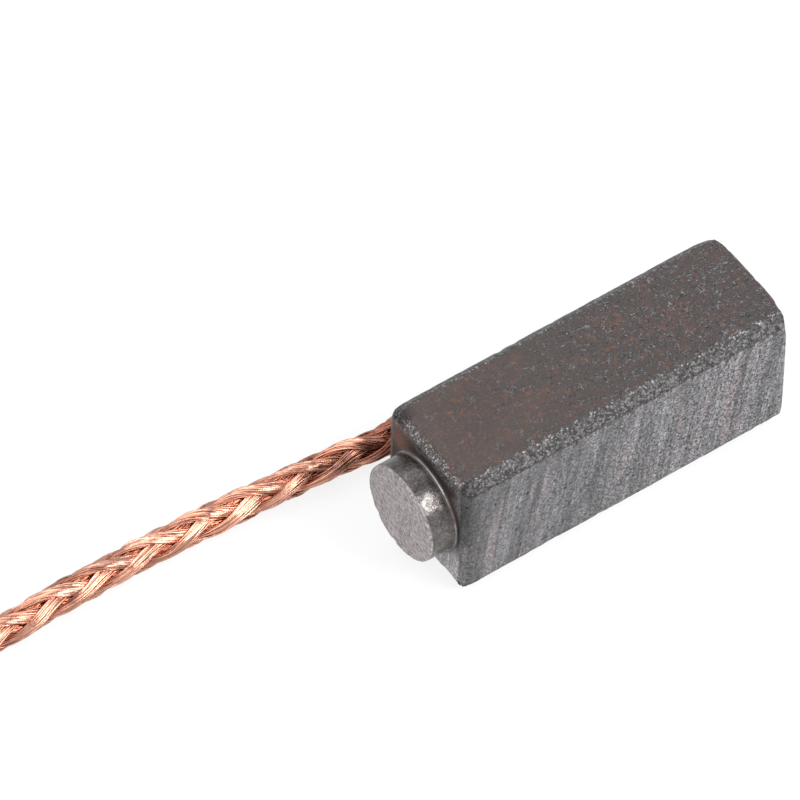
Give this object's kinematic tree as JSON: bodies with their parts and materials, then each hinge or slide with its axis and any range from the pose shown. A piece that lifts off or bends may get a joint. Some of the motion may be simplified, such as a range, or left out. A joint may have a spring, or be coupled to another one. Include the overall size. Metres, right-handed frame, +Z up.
{
  "type": "carbon brush",
  "caption": "Carbon brush for a small electric motor: a bevelled copper-graphite block with a round spring spigot and a braided copper pigtail.",
  "frame": {"origin": "under the middle of the block and its spigot, on the surface that the brush lies on", "axes": "+X along the block towards the contact face, +Y out of the side that the pigtail leaves, +Z up in the pressing direction"},
  "size_m": [0.0483, 0.0084, 0.006],
  "materials": {
    "copper_graphite": "pressed and sintered copper graphite, matte with metallic flecks",
    "copper_braid": "bare bright copper wires, braided",
    "copper_powder": "rammed copper powder, rough and dull",
    "tinned_copper": "dip-tinned strand end, satin"
  },
  "bodies": {
    "root": {"carbon_block": "copper_graphite", "tamped_powder": "copper_powder", "pigtail_root": "copper_braid", "pigtail": "copper_braid", "tinned_tip": "tinned_copper"}
  },
  "joints": []
}
